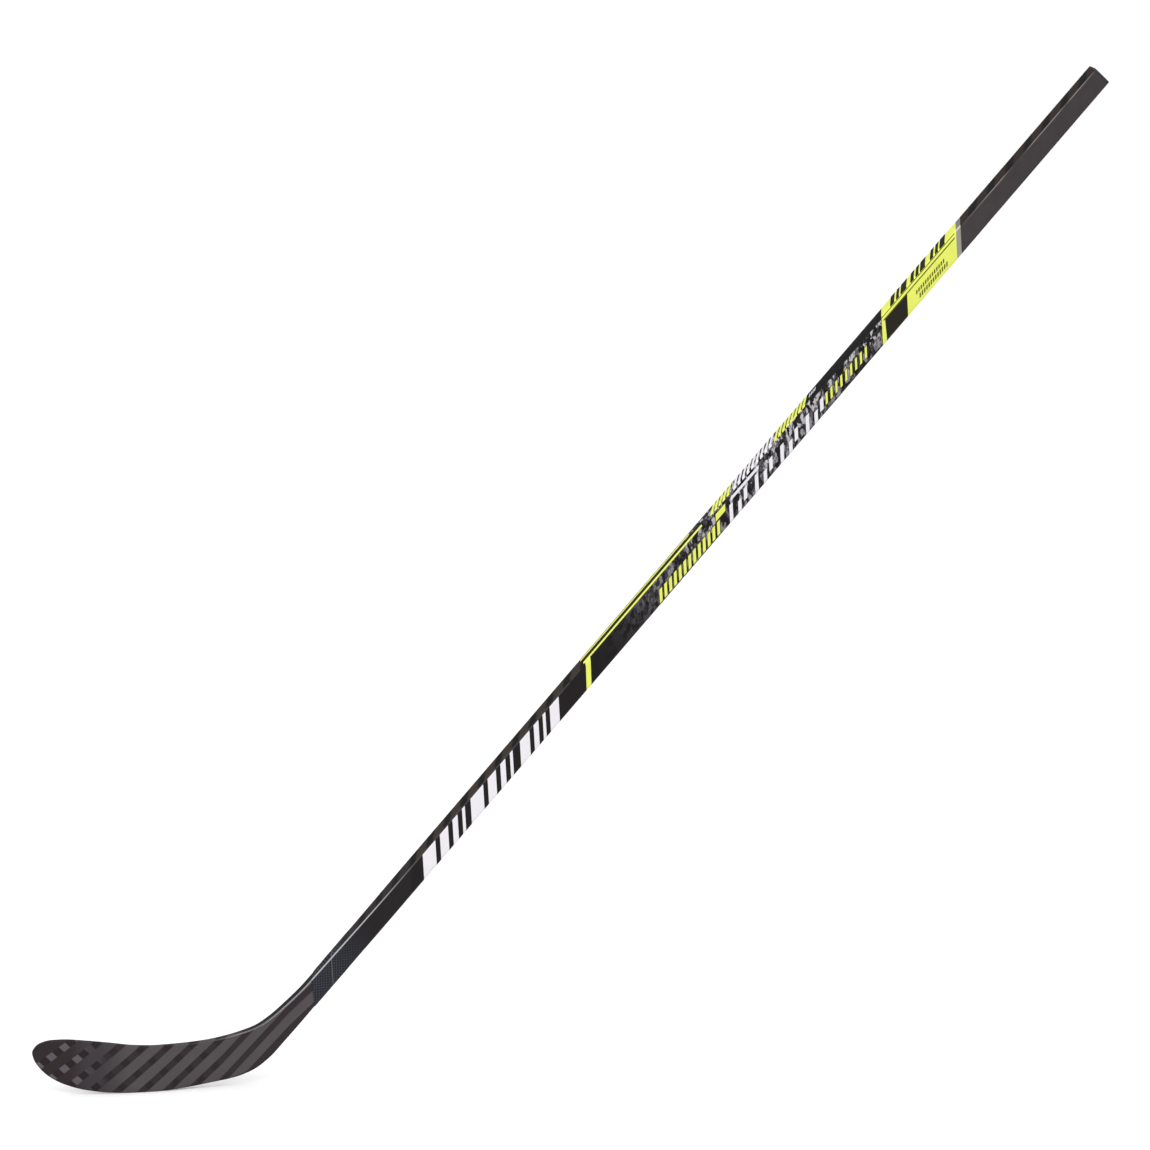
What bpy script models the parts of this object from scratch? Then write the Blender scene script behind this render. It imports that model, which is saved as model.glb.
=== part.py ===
"""Ice hockey stick: a tapered hollow carbon shaft with a curved composite blade, as separate pieces.

The stick stands in its playing pose. The blade rests on the ice at z = 0 with its toe towards -X, the shaft
rises towards +X at the lie angle, the convex (backhand) face looks to -Y and the toe curves to +Y. The origin
is the point of the blade's bottom edge that rests on the ice. All sizes are in metres.
"""
import math

import bmesh
import bpy
import numpy as np
from mathutils import Vector

# ---------------------------------------------------------------- driving dimensions
LIE = math.radians(47.0)             # rise of the shaft above the ice
SHAFT_END = 1.542                    # virtual heel to the outer face of the end plug, along the shaft
SHAFT_WALL = 0.0018
# Outer section along the stick: distance from the heel, width, depth, corner radius, drop below heel line.
SECTIONS = [
    (0.100, 0.0303, 0.0104, 0.0029, 0.0015),
    (0.120, 0.0276, 0.0108, 0.0029, 0.0012),
    (0.150, 0.0267, 0.0117, 0.0030, 0.0011),
    (0.220, 0.0261, 0.0150, 0.0033, 0.0010),
    (0.310, 0.0253, 0.0182, 0.0036, 0.0003),
    (0.600, 0.0254, 0.0182, 0.0036, 0.0000),
    (0.720, 0.0257, 0.0182, 0.0036, 0.0000),
    (1.000, 0.0260, 0.0182, 0.0036, 0.0000),
    (1.308, 0.0261, 0.0182, 0.0036, 0.0000),
    (1.309, 0.0269, 0.0190, 0.0040, 0.0004),
    (1.550, 0.0269, 0.0190, 0.0040, 0.0004),
]
JOINT = 0.148                        # where the blade's hosel meets the shaft tube, from the heel
HEEL_X = 0.110                       # virtual heel, from the rest point of the blade
TOE_DEFLECTION = 0.038               # how far the toe tip curves out of the shaft's plane
CURVE_START, TOE_X = -0.085, -0.2470           # the curve runs between these distances from the heel
HOSEL_THICKNESS, TOE_THICKNESS = 0.0104, 0.0050
EDGE_DEPTH = 0.0030                  # depth of the edge band, measured in from the blade's outline
EDGE_ROUNDING = 0.28                 # edge radius as a share of the blade's thickness
FACE_PLY = 0.0009                    # thickness of each carbon face
RIB_THICKNESS = 0.0016
CLEARANCE = 0.0003                   # left between neighbouring pieces
JOINT_WRAP = (0.122, 0.200, 0.0004)            # start, end and thickness of the wrap over the joint
FILM_THICKNESS = 0.00012
FILM_SLANT = 0.023                   # how far a film's cut edge leans towards the butt across a wide face
# Start and end of each film at the lower edge of the shaft, from the heel.
LOWER_FILM, MIDDLE_FILM = (0.3090, 0.5560), (0.5985, 1.1322)
UPPER_FILM, STRIPE_FILM = (1.1327, 1.2658), (1.2663, 1.2744)
TENON_START, TENON_END = 0.081, 0.215
TENON_INSET_WIDE, TENON_INSET_NARROW = 0.0036, 0.00215
TENON_LEAD = 0.004                   # length of the taper at the tenon's tip
FOAM_START, FOAM_END = 0.2155, 0.285
PLUG_CAP, PLUG_DEPTH = 0.0027, 0.032           # thickness of the end plug's cap, length of its stem
PLUG_CHAMFER = 0.0007
CORNER_STEPS = 4
MIN_CORNER = 0.0006
FACE_COLUMNS = 4
SUBSTEPS = 3                         # stations between two outline points
SMOOTH_ANGLE = math.radians(35.0)
QUARTER_TURN = math.radians(90.0)
# Distances from the heel at which the shaft's section is set: close along the taper, far apart above it.
TAPER_STATIONS = [0.10, 0.12, 0.14, 0.16, 0.18, 0.20, 0.22, 0.24, 0.26, 0.28, 0.30, 0.32]
PLAIN_STATIONS = [0.40, 0.50, 0.60, 0.66, 0.72, 0.86, 1.00]
GRIP_STEP = [1.308, 1.309]           # the grip coat is one film thicker than the shaft below it
STATION_MARGIN = 0.006               # stations closer than this to the end of a piece are left out
HOSEL_STATIONS = (JOINT, 0.125, 0.102)

# Blade outline in the side view, from the virtual heel: pairs of a bottom and a top point, heel to toe.
BLADE_OUTLINE = [
    ((0.0459, 0.0475), (0.0275, 0.0775)),
    ((0.0263, 0.0280), (0.0100, 0.0678)),
    ((0.0067, 0.0155), (-0.0080, 0.0627)),
    ((-0.0150, 0.0088), (-0.0260, 0.0590)),
    ((-0.0420, 0.0053), (-0.0500, 0.0560)),
    ((-0.0750, 0.0017), (-0.0790, 0.0548)),
    ((-0.1050, 0.0000), (-0.1070, 0.0547)),
    ((-0.1350, 0.0000), (-0.1350, 0.0563)),
    ((-0.1650, 0.0011), (-0.1630, 0.0601)),
    ((-0.1900, 0.0043), (-0.1880, 0.0628)),
    ((-0.2120, 0.0105), (-0.2100, 0.0642)),
    ((-0.2285, 0.0190), (-0.2270, 0.0630)),
    ((-0.2395, 0.0295), (-0.2378, 0.0594)),
    ((-0.2452, 0.0390), (-0.2440, 0.0540)),
]
TOE_TIP = (TOE_X, 0.0470)

ALONG = Vector((math.cos(LIE), 0.0, math.sin(LIE)))      # unit vector up the shaft
ACROSS = Vector((-math.sin(LIE), 0.0, math.cos(LIE)))    # unit vector across its wide faces, upwards
HEEL = Vector((HEEL_X, 0.0, 0.0))


# ---------------------------------------------------------------- helpers
def clear_scene():
    """Start from an empty scene."""
    for obj in list(bpy.data.objects):
        bpy.data.objects.remove(obj)


def make_material(name, color, roughness, metallic=0.0):
    material = bpy.data.materials.new(name)
    material.use_nodes = True
    shader = material.node_tree.nodes["Principled BSDF"]
    shader.inputs["Base Color"].default_value = (*color, 1.0)
    shader.inputs["Roughness"].default_value = roughness
    shader.inputs["Metallic"].default_value = metallic
    return material


def add_piece(name, vertices, faces, material):
    """One closed, named solid with its faces pointing out."""
    mesh = bpy.data.meshes.new(name)
    work = bmesh.new()
    corners = [work.verts.new(v) for v in vertices]
    for face in faces:
        work.faces.new([corners[i] for i in face])
    bmesh.ops.recalc_face_normals(work, faces=work.faces)
    work.to_mesh(mesh)
    work.free()
    mesh.shade_smooth()
    mesh.set_sharp_from_angle(angle=SMOOTH_ANGLE)
    mesh.materials.append(material)
    piece = bpy.data.objects.new(name, mesh)
    bpy.context.scene.collection.objects.link(piece)


def ring_faces(rings, size, wrap=False):
    """Quads between consecutive rings of `size` points, with both ends capped, or joined to each other."""
    faces = []
    last = rings if wrap else rings - 1
    for i in range(last):
        a = i * size
        b = ((i + 1) % rings) * size
        for j in range(size):
            k = (j + 1) % size
            faces.append((a + j, a + k, b + k, b + j))
    if not wrap:
        faces.append(tuple(range(size)))
        faces.append(tuple((rings - 1) * size + j for j in range(size)))
    return faces


def loft(name, rings, material):
    """A solid through a row of rings, closed at both ends."""
    vertices = [v for ring in rings for v in ring]
    add_piece(name, vertices, ring_faces(len(rings), len(rings[0])), material)


def sleeve(name, outer, inner, material):
    """A tube open at both ends: the outer rings run up, the inner rings run back down."""
    rings = outer + inner[::-1]
    vertices = [v for ring in rings for v in ring]
    add_piece(name, vertices, ring_faces(len(rings), len(rings[0]), wrap=True), material)


def monotone_slopes(t, values):
    """Slopes for a smooth curve through values that never overshoots them."""
    steps = np.diff(values) / np.diff(t)
    slopes = np.zeros(len(values))
    slopes[0], slopes[-1] = steps[0], steps[-1]
    for i in range(1, len(values) - 1):
        before, after = steps[i - 1], steps[i]
        if before * after > 0:
            slopes[i] = 2 * before * after / (before + after)
    return slopes


def hermite(start, end, slope_start, slope_end, span, u):
    """Point at share u of a smooth span between two values with given slopes."""
    return (
        (2 * u**3 - 3 * u**2 + 1) * start
        + (u**3 - 2 * u**2 + u) * span * slope_start
        + (3 * u**2 - 2 * u**3) * end
        + (u**3 - u**2) * span * slope_end
    )


# ---------------------------------------------------------------- shaft sections
SECTION_ROWS = np.array(SECTIONS)
SECTION_SLOPES = np.stack(
    [monotone_slopes(SECTION_ROWS[:, 0], SECTION_ROWS[:, k]) for k in range(1, SECTION_ROWS.shape[1])], axis=1
)


def section_size(s):
    """Width, depth, corner radius and drop of the stick at distance s from the heel."""
    i = int(np.clip(np.searchsorted(SECTION_ROWS[:, 0], s) - 1, 0, len(SECTION_ROWS) - 2))
    low, high = SECTION_ROWS[i], SECTION_ROWS[i + 1]
    span = high[0] - low[0]
    u = min(max((s - low[0]) / span, 0.0), 1.0)
    return hermite(low[1:], high[1:], SECTION_SLOPES[i], SECTION_SLOPES[i + 1], span, u)


def on_shaft(s, across, y):
    """The point at distance s up the shaft, moved across its wide faces and sideways."""
    return HEEL + ALONG * s + ACROSS * across + Vector((0.0, y, 0.0))


def section_ring(s, grow_wide=0.0, grow_narrow=0.0, slant=0.0):
    """Rounded rectangle around the shaft at s, grown outwards; its plane leans by slant across the width."""
    width, depth, corner, drop = section_size(s)
    half_wide = width / 2 + grow_wide
    half_narrow = depth / 2 + grow_narrow
    radius = max(corner + min(grow_wide, grow_narrow), MIN_CORNER)
    ring = []
    for quarter, (side_w, side_y) in enumerate([(1, 1), (-1, 1), (-1, -1), (1, -1)]):
        for step in range(CORNER_STEPS + 1):
            angle = QUARTER_TURN * (quarter + step / CORNER_STEPS)
            w = side_w * (half_wide - radius) + radius * math.cos(angle)
            y = side_y * (half_narrow - radius) + radius * math.sin(angle)
            ring.append(on_shaft(s + slant * w / width, width / 2 - drop + w, y))
    return ring


def shaft_stations(start, end):
    """Distances from the heel for a piece of the shaft, its two ends included."""
    between = TAPER_STATIONS + PLAIN_STATIONS + GRIP_STEP
    inside = [s for s in between if start + STATION_MARGIN < s < end - STATION_MARGIN]
    return [start] + inside + [end]


def build_shaft_tube(material):
    stations = shaft_stations(JOINT + CLEARANCE, SHAFT_END - PLUG_CAP - CLEARANCE)
    outer = [section_ring(s) for s in stations]
    inner = [section_ring(s, -SHAFT_WALL, -SHAFT_WALL) for s in stations]
    sleeve("shaft_tube", outer, inner, material)


def build_end_plug(material):
    """A cap as wide as the shaft, with a chamfered rim, and a stem that sits inside the tube."""
    stem = -(SHAFT_WALL + CLEARANCE)
    stem_tip = stem - PLUG_CHAMFER
    cap_start = SHAFT_END - PLUG_CAP
    rings = [
        section_ring(cap_start - PLUG_DEPTH, stem_tip, stem_tip),
        section_ring(cap_start - PLUG_DEPTH + 2 * PLUG_CHAMFER, stem, stem),
        section_ring(cap_start, stem, stem),
        section_ring(cap_start),
        section_ring(SHAFT_END - PLUG_CHAMFER),
        section_ring(SHAFT_END, -PLUG_CHAMFER, -PLUG_CHAMFER),
    ]
    loft("end_plug", rings, material)


def build_blade_tenon(material):
    """The neck of the blade that is glued up inside the shaft tube."""
    stations = shaft_stations(TENON_START, TENON_END - TENON_LEAD)
    rings = [section_ring(s, -TENON_INSET_WIDE, -TENON_INSET_NARROW) for s in stations]
    tip = TENON_LEAD / 4
    rings.append(section_ring(TENON_END, -TENON_INSET_WIDE - tip, -TENON_INSET_NARROW - tip))
    loft("blade_tenon", rings, material)


def build_taper_foam(material):
    """Light foam block above the tenon, inside the tapered end of the tube."""
    inset = -(SHAFT_WALL + CLEARANCE)
    stations = shaft_stations(FOAM_START, FOAM_END)
    loft("taper_foam", [section_ring(s, inset, inset) for s in stations], material)


def build_joint_wrap(material):
    """A close wrap of woven carbon over the place where blade and shaft meet."""
    start, end, thickness = JOINT_WRAP
    stations = shaft_stations(start, end)
    outer = [section_ring(s, CLEARANCE + thickness, CLEARANCE + thickness) for s in stations]
    inner = [section_ring(s, CLEARANCE, CLEARANCE) for s in stations]
    sleeve("joint_wrap", outer, inner, material)


def build_film(name, span, material):
    """A printed film around the plain shaft. Both cut edges lean towards the butt at the upper edge."""
    start, end = span
    outside = CLEARANCE + FILM_THICKNESS
    middle = FILM_SLANT / 2
    stations = shaft_stations(start + middle, end + middle)
    outer = [section_ring(s, outside, outside, FILM_SLANT) for s in stations]
    inner = [section_ring(s, CLEARANCE, CLEARANCE, FILM_SLANT) for s in stations]
    sleeve(name, outer, inner, material)


# ---------------------------------------------------------------- blade outline
def smooth_path(points, substeps):
    """Points along a smooth curve through the given ones, with `substeps` stations between two of them."""
    points = np.array(points)
    lengths = np.linalg.norm(np.diff(points, axis=0), axis=1)
    t = np.concatenate([[0.0], np.cumsum(lengths)])
    slopes = np.stack([monotone_slopes(t, points[:, k]) for k in range(2)], axis=1)
    path = []
    for i in range(len(points) - 1):
        span = t[i + 1] - t[i]
        for step in range(substeps):
            path.append(hermite(points[i], points[i + 1], slopes[i], slopes[i + 1], span, step / substeps))
    path.append(points[-1])
    return np.array(path)


def hosel_pair(s):
    """Bottom and top edge of the hosel at distance s, from the heel."""
    width, _, _, drop = section_size(s)
    bottom = ALONG * s - ACROSS * drop
    top = bottom + ACROSS * width
    return (bottom.x, bottom.z), (top.x, top.z)


class Blade:
    """The blade from hosel to toe: its outline, half thickness and inward normals at each station."""

    def __init__(self):
        pairs = [hosel_pair(s) for s in HOSEL_STATIONS] + BLADE_OUTLINE
        outline = [b for b, _ in pairs] + [TOE_TIP] + [t for _, t in reversed(pairs)]
        self.path = smooth_path(outline, SUBSTEPS)
        self.count = len(self.path) // 2
        tangent = np.gradient(self.path, axis=0)
        tangent[0], tangent[-1] = (-ALONG.x, -ALONG.z), (ALONG.x, ALONG.z)
        tangent /= np.linalg.norm(tangent, axis=1)[:, None]
        self.inward = np.stack([tangent[:, 1], -tangent[:, 0]], axis=1)
        self.half = [self.half_thickness(i) for i in range(self.count + 1)]

    def half_thickness(self, i):
        hosel_steps = (len(HOSEL_STATIONS) - 1) * SUBSTEPS
        if i <= hosel_steps:
            s = np.interp(i / SUBSTEPS, range(len(HOSEL_STATIONS)), HOSEL_STATIONS)
            return section_size(s)[1] / 2
        share = (i - hosel_steps) / (self.count - hosel_steps)
        return (HOSEL_THICKNESS + (TOE_THICKNESS - HOSEL_THICKNESS) * share) / 2

    def path_half(self, k):
        return self.half[k if k <= self.count else 2 * self.count - k]

    def inset(self, depth):
        """Bottom and top edge points at each station, moved in from the outline by depth."""
        moved = self.path + self.inward * depth
        return moved[: self.count + 1], moved[self.count:][::-1]


def bend(x, z, y):
    """A point of the flat blade, given from the heel, moved onto the blade's curve."""
    share = max((CURVE_START - x) / (CURVE_START - TOE_X), 0.0)
    return Vector((x + HEEL_X, y + TOE_DEFLECTION * share**2, z))


def build_edge_band(blade, material):
    """The rim that runs from the hosel along the bottom, round the toe and back along the top edge."""
    rings = []
    for k, (point, inward) in enumerate(zip(blade.path, blade.inward)):
        half = blade.path_half(k)
        radius = 2 * half * EDGE_ROUNDING
        profile = [(EDGE_DEPTH, -half)]
        for step in range(CORNER_STEPS):
            angle = QUARTER_TURN * step / (CORNER_STEPS - 1)
            profile.append((radius * (1 - math.sin(angle)), -half + radius * (1 - math.cos(angle))))
        profile += [(depth, -y) for depth, y in reversed(profile)]
        rings.append([bend(*(point + inward * depth), y) for depth, y in profile])
    loft("edge_band", rings, material)


def blade_block(name, blade, material, stations, low, high, inner, outer, columns):
    """A closed block of the blade: between the share low and high of its height, and inner and outer in y."""
    bottom, top = blade.inset(EDGE_DEPTH + CLEARANCE)
    rings = []
    for i in stations:
        height = float(np.linalg.norm(top[i] - bottom[i]))
        start, end = low(height), high(height)
        shares = [start + (end - start) * c / columns for c in range(columns + 1)]
        points = [bottom[i] + (top[i] - bottom[i]) * share for share in shares]
        ring = [bend(x, z, outer(blade.half[i])) for x, z in points]
        ring += [bend(x, z, inner(blade.half[i])) for x, z in reversed(points)]
        rings.append(ring)
    loft(name, rings, material)


def build_faces(blade, material):
    """The two carbon faces, on the outside of the blade and within its rim."""
    stations = range(blade.count)
    for name, side in (("backhand_face", -1), ("forehand_face", 1)):
        blade_block(
            name, blade, material, stations, lambda height: 0.0, lambda height: 1.0,
            lambda half, side=side: side * (half - FACE_PLY),
            lambda half, side=side: side * half, FACE_COLUMNS,
        )


def build_cores(blade, foam, carbon):
    """Two foam cores with a stiffening rib between them, filling the blade between its faces."""
    reach = FACE_PLY + CLEARANCE
    stations = range(len(HOSEL_STATIONS) * SUBSTEPS, blade.count - 2)
    rib = RIB_THICKNESS / 2
    core = rib + CLEARANCE
    bands = (
        ("lower_core", foam, lambda height: 0.0, lambda height: 0.5 - core / height, 2),
        ("core_rib", carbon, lambda height: 0.5 - rib / height, lambda height: 0.5 + rib / height, 1),
        ("upper_core", foam, lambda height: 0.5 + core / height, lambda height: 1.0, 2),
    )
    for name, material, low, high, columns in bands:
        blade_block(
            name, blade, material, stations, low, high,
            lambda half: reach - half, lambda half: half - reach, columns,
        )


# ---------------------------------------------------------------- the stick
def main():
    clear_scene()
    carbon = make_material("carbon_shaft", (0.045, 0.040, 0.044), 0.38)
    blade_carbon = make_material("carbon_blade", (0.060, 0.052, 0.054), 0.48)
    edge = make_material("blade_edge", (0.030, 0.027, 0.029), 0.50)
    foam = make_material("core_foam", (0.78, 0.74, 0.62), 0.90)
    weave = make_material("woven_wrap", (0.040, 0.043, 0.052), 0.40)
    cap = make_material("plug_polymer", (0.020, 0.020, 0.022), 0.60)
    white_film = make_material("white_film", (0.80, 0.80, 0.82), 0.30)
    dark_film = make_material("mottled_film", (0.16, 0.16, 0.15), 0.30)
    neon_film = make_material("neon_film", (0.76, 0.90, 0.10), 0.30)
    silver_film = make_material("silver_film", (0.45, 0.46, 0.45), 0.35, 0.6)

    build_shaft_tube(carbon)
    build_end_plug(cap)
    build_blade_tenon(carbon)
    build_taper_foam(foam)
    build_joint_wrap(weave)
    blade = Blade()
    build_edge_band(blade, edge)
    build_faces(blade, blade_carbon)
    build_cores(blade, foam, blade_carbon)
    build_film("lower_film", LOWER_FILM, white_film)
    build_film("middle_film", MIDDLE_FILM, dark_film)
    build_film("upper_film", UPPER_FILM, neon_film)
    build_film("stripe_film", STRIPE_FILM, silver_film)


main()
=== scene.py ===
"""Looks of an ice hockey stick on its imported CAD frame: carbon skins, printed marks, camera and light.

Two coordinate systems are used besides the frame's own. On the shaft, s is the distance from the virtual
heel, v the distance round the section from the middle of a wide face (positive to the upper edge), and lift
the height above the skin. On the blade, x and z are measured in the side view from the virtual heel.
"""

import math

import bmesh
import bpy
import numpy as np
from mathutils import Matrix, Vector

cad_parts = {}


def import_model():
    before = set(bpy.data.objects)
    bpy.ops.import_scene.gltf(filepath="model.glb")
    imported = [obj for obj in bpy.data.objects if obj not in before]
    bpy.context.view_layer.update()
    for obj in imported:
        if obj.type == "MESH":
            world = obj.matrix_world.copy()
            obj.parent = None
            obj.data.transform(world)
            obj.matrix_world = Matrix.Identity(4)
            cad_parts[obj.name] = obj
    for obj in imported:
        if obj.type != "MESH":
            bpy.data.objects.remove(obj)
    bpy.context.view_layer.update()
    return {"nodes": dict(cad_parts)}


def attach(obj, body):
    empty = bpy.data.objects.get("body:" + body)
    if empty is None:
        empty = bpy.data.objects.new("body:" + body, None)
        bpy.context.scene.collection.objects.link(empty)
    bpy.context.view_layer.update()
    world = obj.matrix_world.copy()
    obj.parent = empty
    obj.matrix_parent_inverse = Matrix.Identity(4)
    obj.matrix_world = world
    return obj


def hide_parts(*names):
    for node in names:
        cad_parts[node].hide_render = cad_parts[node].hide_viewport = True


# ---- sizes of the CAD frame, in metres
LIE = math.radians(47.0)
HEEL_X = 0.110
# Outer section along the stick: distance from the heel, width, depth, corner radius, drop below heel line.
SECTIONS = np.array([
    (0.100, 0.0303, 0.0104, 0.0029, 0.0015),
    (0.120, 0.0276, 0.0108, 0.0029, 0.0012),
    (0.150, 0.0267, 0.0117, 0.0030, 0.0011),
    (0.220, 0.0261, 0.0150, 0.0033, 0.0010),
    (0.310, 0.0253, 0.0182, 0.0036, 0.0003),
    (0.600, 0.0254, 0.0182, 0.0036, 0.0000),
    (0.720, 0.0257, 0.0182, 0.0036, 0.0000),
    (1.000, 0.0260, 0.0182, 0.0036, 0.0000),
    (1.308, 0.0261, 0.0182, 0.0036, 0.0000),
    (1.309, 0.0269, 0.0190, 0.0040, 0.0004),
    (1.550, 0.0269, 0.0190, 0.0040, 0.0004),
])
SHAFT_END = 1.542
PLUG_CAP = 0.0027
PLUG_CORNER, CAP_ROUNDING, DISH_DEPTH, DISH_EDGE = 0.0041, 0.0010, 0.0006, 0.0022
STEM_LENGTH, STEM_INSET = 0.032, 0.0024
RIBS, RIBS_START, RIB_PITCH, RIB_HEIGHT = 4, 0.026, 0.006, 0.0004
JOINT = 0.148
TOE_DEFLECTION = 0.038
CURVE_START, TOE_X = -0.085, -0.2470
HOSEL_THICKNESS, TOE_THICKNESS = 0.0104, 0.0050
EDGE_DEPTH = 0.0030
EDGE_ROUNDING = 0.28
FACE_PLY = 0.0009
HOSEL_STATIONS = (JOINT, 0.125, 0.102)
# Blade outline in the side view: pairs of a bottom and a top point, heel to toe.
BLADE_OUTLINE = [
    ((0.0459, 0.0475), (0.0275, 0.0775)),
    ((0.0263, 0.0280), (0.0100, 0.0678)),
    ((0.0067, 0.0155), (-0.0080, 0.0627)),
    ((-0.0150, 0.0088), (-0.0260, 0.0590)),
    ((-0.0420, 0.0053), (-0.0500, 0.0560)),
    ((-0.0750, 0.0017), (-0.0790, 0.0548)),
    ((-0.1050, 0.0000), (-0.1070, 0.0547)),
    ((-0.1350, 0.0000), (-0.1350, 0.0563)),
    ((-0.1650, 0.0011), (-0.1630, 0.0601)),
    ((-0.1900, 0.0043), (-0.1880, 0.0628)),
    ((-0.2120, 0.0105), (-0.2100, 0.0642)),
    ((-0.2285, 0.0190), (-0.2270, 0.0630)),
    ((-0.2395, 0.0295), (-0.2378, 0.0594)),
    ((-0.2452, 0.0390), (-0.2440, 0.0540)),
]
TOE_TIP = (TOE_X, 0.0470)

ALONG = Vector((math.cos(LIE), 0.0, math.sin(LIE)))
ACROSS = Vector((-math.sin(LIE), 0.0, math.cos(LIE)))
HEEL = Vector((HEEL_X, 0.0, 0.0))

# ---- how the looks are laid out
NOMINAL = (0.0260, 0.0182, 0.0036)  # width, depth and corner radius that slanted cuts are measured on
LEAN = 0.92  # a cut moves this far up the shaft for each metre across a wide face
LEAN_THROUGH = 0.59  # and this far for each metre through the shaft, front to back
SKIN_LIFT = 0.0004  # skin of the shaft above the tube, below the grip
SKIN_THICKNESS = 0.0014
SKIN_GAP, PLUG_GAP = 0.0003, 0.0002  # left between the shaft's skin and the blade, and the end plug
GRIP_STEP = 1.3085
# Cuts between the sections of the shaft, at the lower edge of its backhand face.
TAPER_END, LOWER_END, MIDDLE_END, UPPER_END, STRIPE_END = 0.2900, 0.6012, 1.1326, 1.2663, 1.2744
RING_STEP = 0.010  # distance between the rings of a skin
CORNER_STEPS = 8
PRINT_GAP, PRINT_THICKNESS = 0.00001, 0.00006  # a printed shape above the skin
PRINT_STEP, PRINT_CELL = 0.02, 0.0006  # distance between its points along and across the shaft
LINE_LEAN = 0.4  # slant of the ends of the lines along the upper narrow face
MARK_EDGE = 0.0008  # black edge round a neon mark
SLEEVE_START, SLEEVE_END = 0.1170, 0.1780  # cuts of the joint sleeve, at the lower edge
SLEEVE_THICKNESS, SLEEVE_GAP, SLEEVE_DEPTH = 0.0002, 0.00005, 0.0001
SLEEVE_LIFT = 0.00027  # lifts the upper ridges over the sleeve
SLEEVE_RIDGE = (0.205, 0.225), (1.0, 0.0)  # and where they come down
HIGHLIGHT_THICKNESS = 0.00005  # of the glossy strip with a painted highlight along the blade's top edge
RIDGE_SPANS, RIDGE_GROWS = 8, 30.0  # it covers 8 spans of the outline and widens over 30 stations
RIDGE_NARROW, RIDGE_WIDE = 0.0002, 0.0007  # its half widths
BLADE_SUBSTEPS = 8  # stations between two outline points
BLADE_COLUMNS = 12

BACKHAND, FOREHAND = -1, 1
UPPER, LOWER = 1, -1
RIDGE_ANGLE = {UPPER: math.radians(30.0), LOWER: math.radians(45.0)}  # turn from the wide face to a ridge
RIDGE_STARTS = {BACKHAND: (0.1394, 1.3000), FOREHAND: (0.1475, 1.3110)}  # of the upper ones: shaft, grip
RIDGE_BREAK, RIDGE_END = 0.5960, SHAFT_END - PLUG_CAP - 0.0004
RIGHT_ANGLE, HALF_RIGHT = math.radians(90.0), math.radians(45.0)

# ---- colours, as 0-255 screen values
NEON, WHITE_INK, BLACK_INK, OLIVE_INK = (213, 220, 97), (217, 214, 219), (34, 31, 24), (88, 92, 22)
SILVER, PLUG_GREY, BARE_CARBON = (150, 146, 138), (46, 42, 43), (42, 40, 43)
# Carbon under lacquer: its wide faces, the dark and light tapes of its narrow faces, and how these repeat
# along the shaft (the middle of a dark one, their pitch).
SHAFT_TAPES, GRIP_TAPES = (0.3269, 0.0305), (1.3300, 0.0330)
TAPER_CARBON = (32, 29, 31), (26, 24, 25), (44, 40, 40), SHAFT_TAPES
LOWER_CARBON = (26, 23, 24), (17, 15, 15), (54, 47, 42), SHAFT_TAPES
GRIP_CARBON = (62, 57, 59), (20, 17, 17), (46, 37, 35), GRIP_TAPES
WEAVE_DARK, WEAVE_LIGHT = (24, 24, 28), (36, 37, 43)
THREAD_COLOR, SEAM_COLOR = (66, 69, 78), (116, 113, 118)
# Tones of the mottled print: lowest chip value, where along the shaft it starts and is full, its colour.
MOTTLE_GROUND = 22, 20, 21
MOTTLE_TONES = (
    (0.36, 0.61, 0.78, (54, 51, 54)),
    (0.54, 0.65, 0.86, (104, 100, 105)),
    (0.68, 0.68, 0.90, (198, 195, 200)),
)
TOE_GROUND = 37, 28, 30

# ---- patterns on the shaft
TAPER_START, TAPER_TOP = 0.150, 0.310  # the stretch over which the shaft's depth changes
RIDGE_BLEND = 0.0001, -0.0003  # past a wide face's plane: 0 and 1 of the narrow mask
TAPE_LEAN = 0.8  # slant of the tapes across a narrow face
TAPE_SHARE, TAPE_FRAY, TAPE_SOFTNESS = 0.42, 0.006, 0.005
WEAVE_PITCH = 0.0026
WEAVE_TOP, WEAVE_FULL = 0.235, 0.165  # the open weave fades out between these distances
THREAD_PITCH, THREAD_WIDTH = 0.0031, 0.0007
SEAM, SEAM_WIDTH, SEAM_SOFTNESS = 0.1501, 0.0006, 0.0004  # a pale line across the joint sleeve
SEAM_REPEAT = 0.5  # further than the sleeve reaches, so it shows once
JOINT_HIGHLIGHT, GRIP_HIGHLIGHT = (0.34, 0.21), (1.295, 1.350)  # the painted highlight on the ridges comes up between these
MOTTLE_STOP = 1.028  # above it the mottled print leaves the narrow faces black

# ---- patterns on the blade
BAND_ANGLE = math.radians(40.7)
BAND_FIRST, BAND_PITCH, BAND_WIDTH = 0.0249, 0.01959, 0.0080
HEEL_TWIST = 0.10  # the bands turn up a little at the heel
HEEL_REACH = -0.03, 0.05  # between these distances
CHECK_ANGLE = math.radians(-45.0)
CHECK_FIRST, CHECK_PITCH, CHECK_WIDTH = -0.1206, 0.0182, 0.0096
CROSS_FIRST, CROSS_PITCH, CROSS_WIDTH = -0.0775, 0.0226, 0.0090
TOE_ZONE = -0.165, -0.180  # the crossed tapes of the toe begin between these distances


# ---- curves and sections
def monotone_slopes(t, values):
    """Slopes for a smooth curve through values that never overshoots them."""
    steps = np.diff(values) / np.diff(t)
    slopes = np.zeros(len(values))
    slopes[0], slopes[-1] = steps[0], steps[-1]
    for i in range(1, len(values) - 1):
        before, after = steps[i - 1], steps[i]
        if before * after > 0:
            slopes[i] = 2 * before * after / (before + after)
    return slopes


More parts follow.
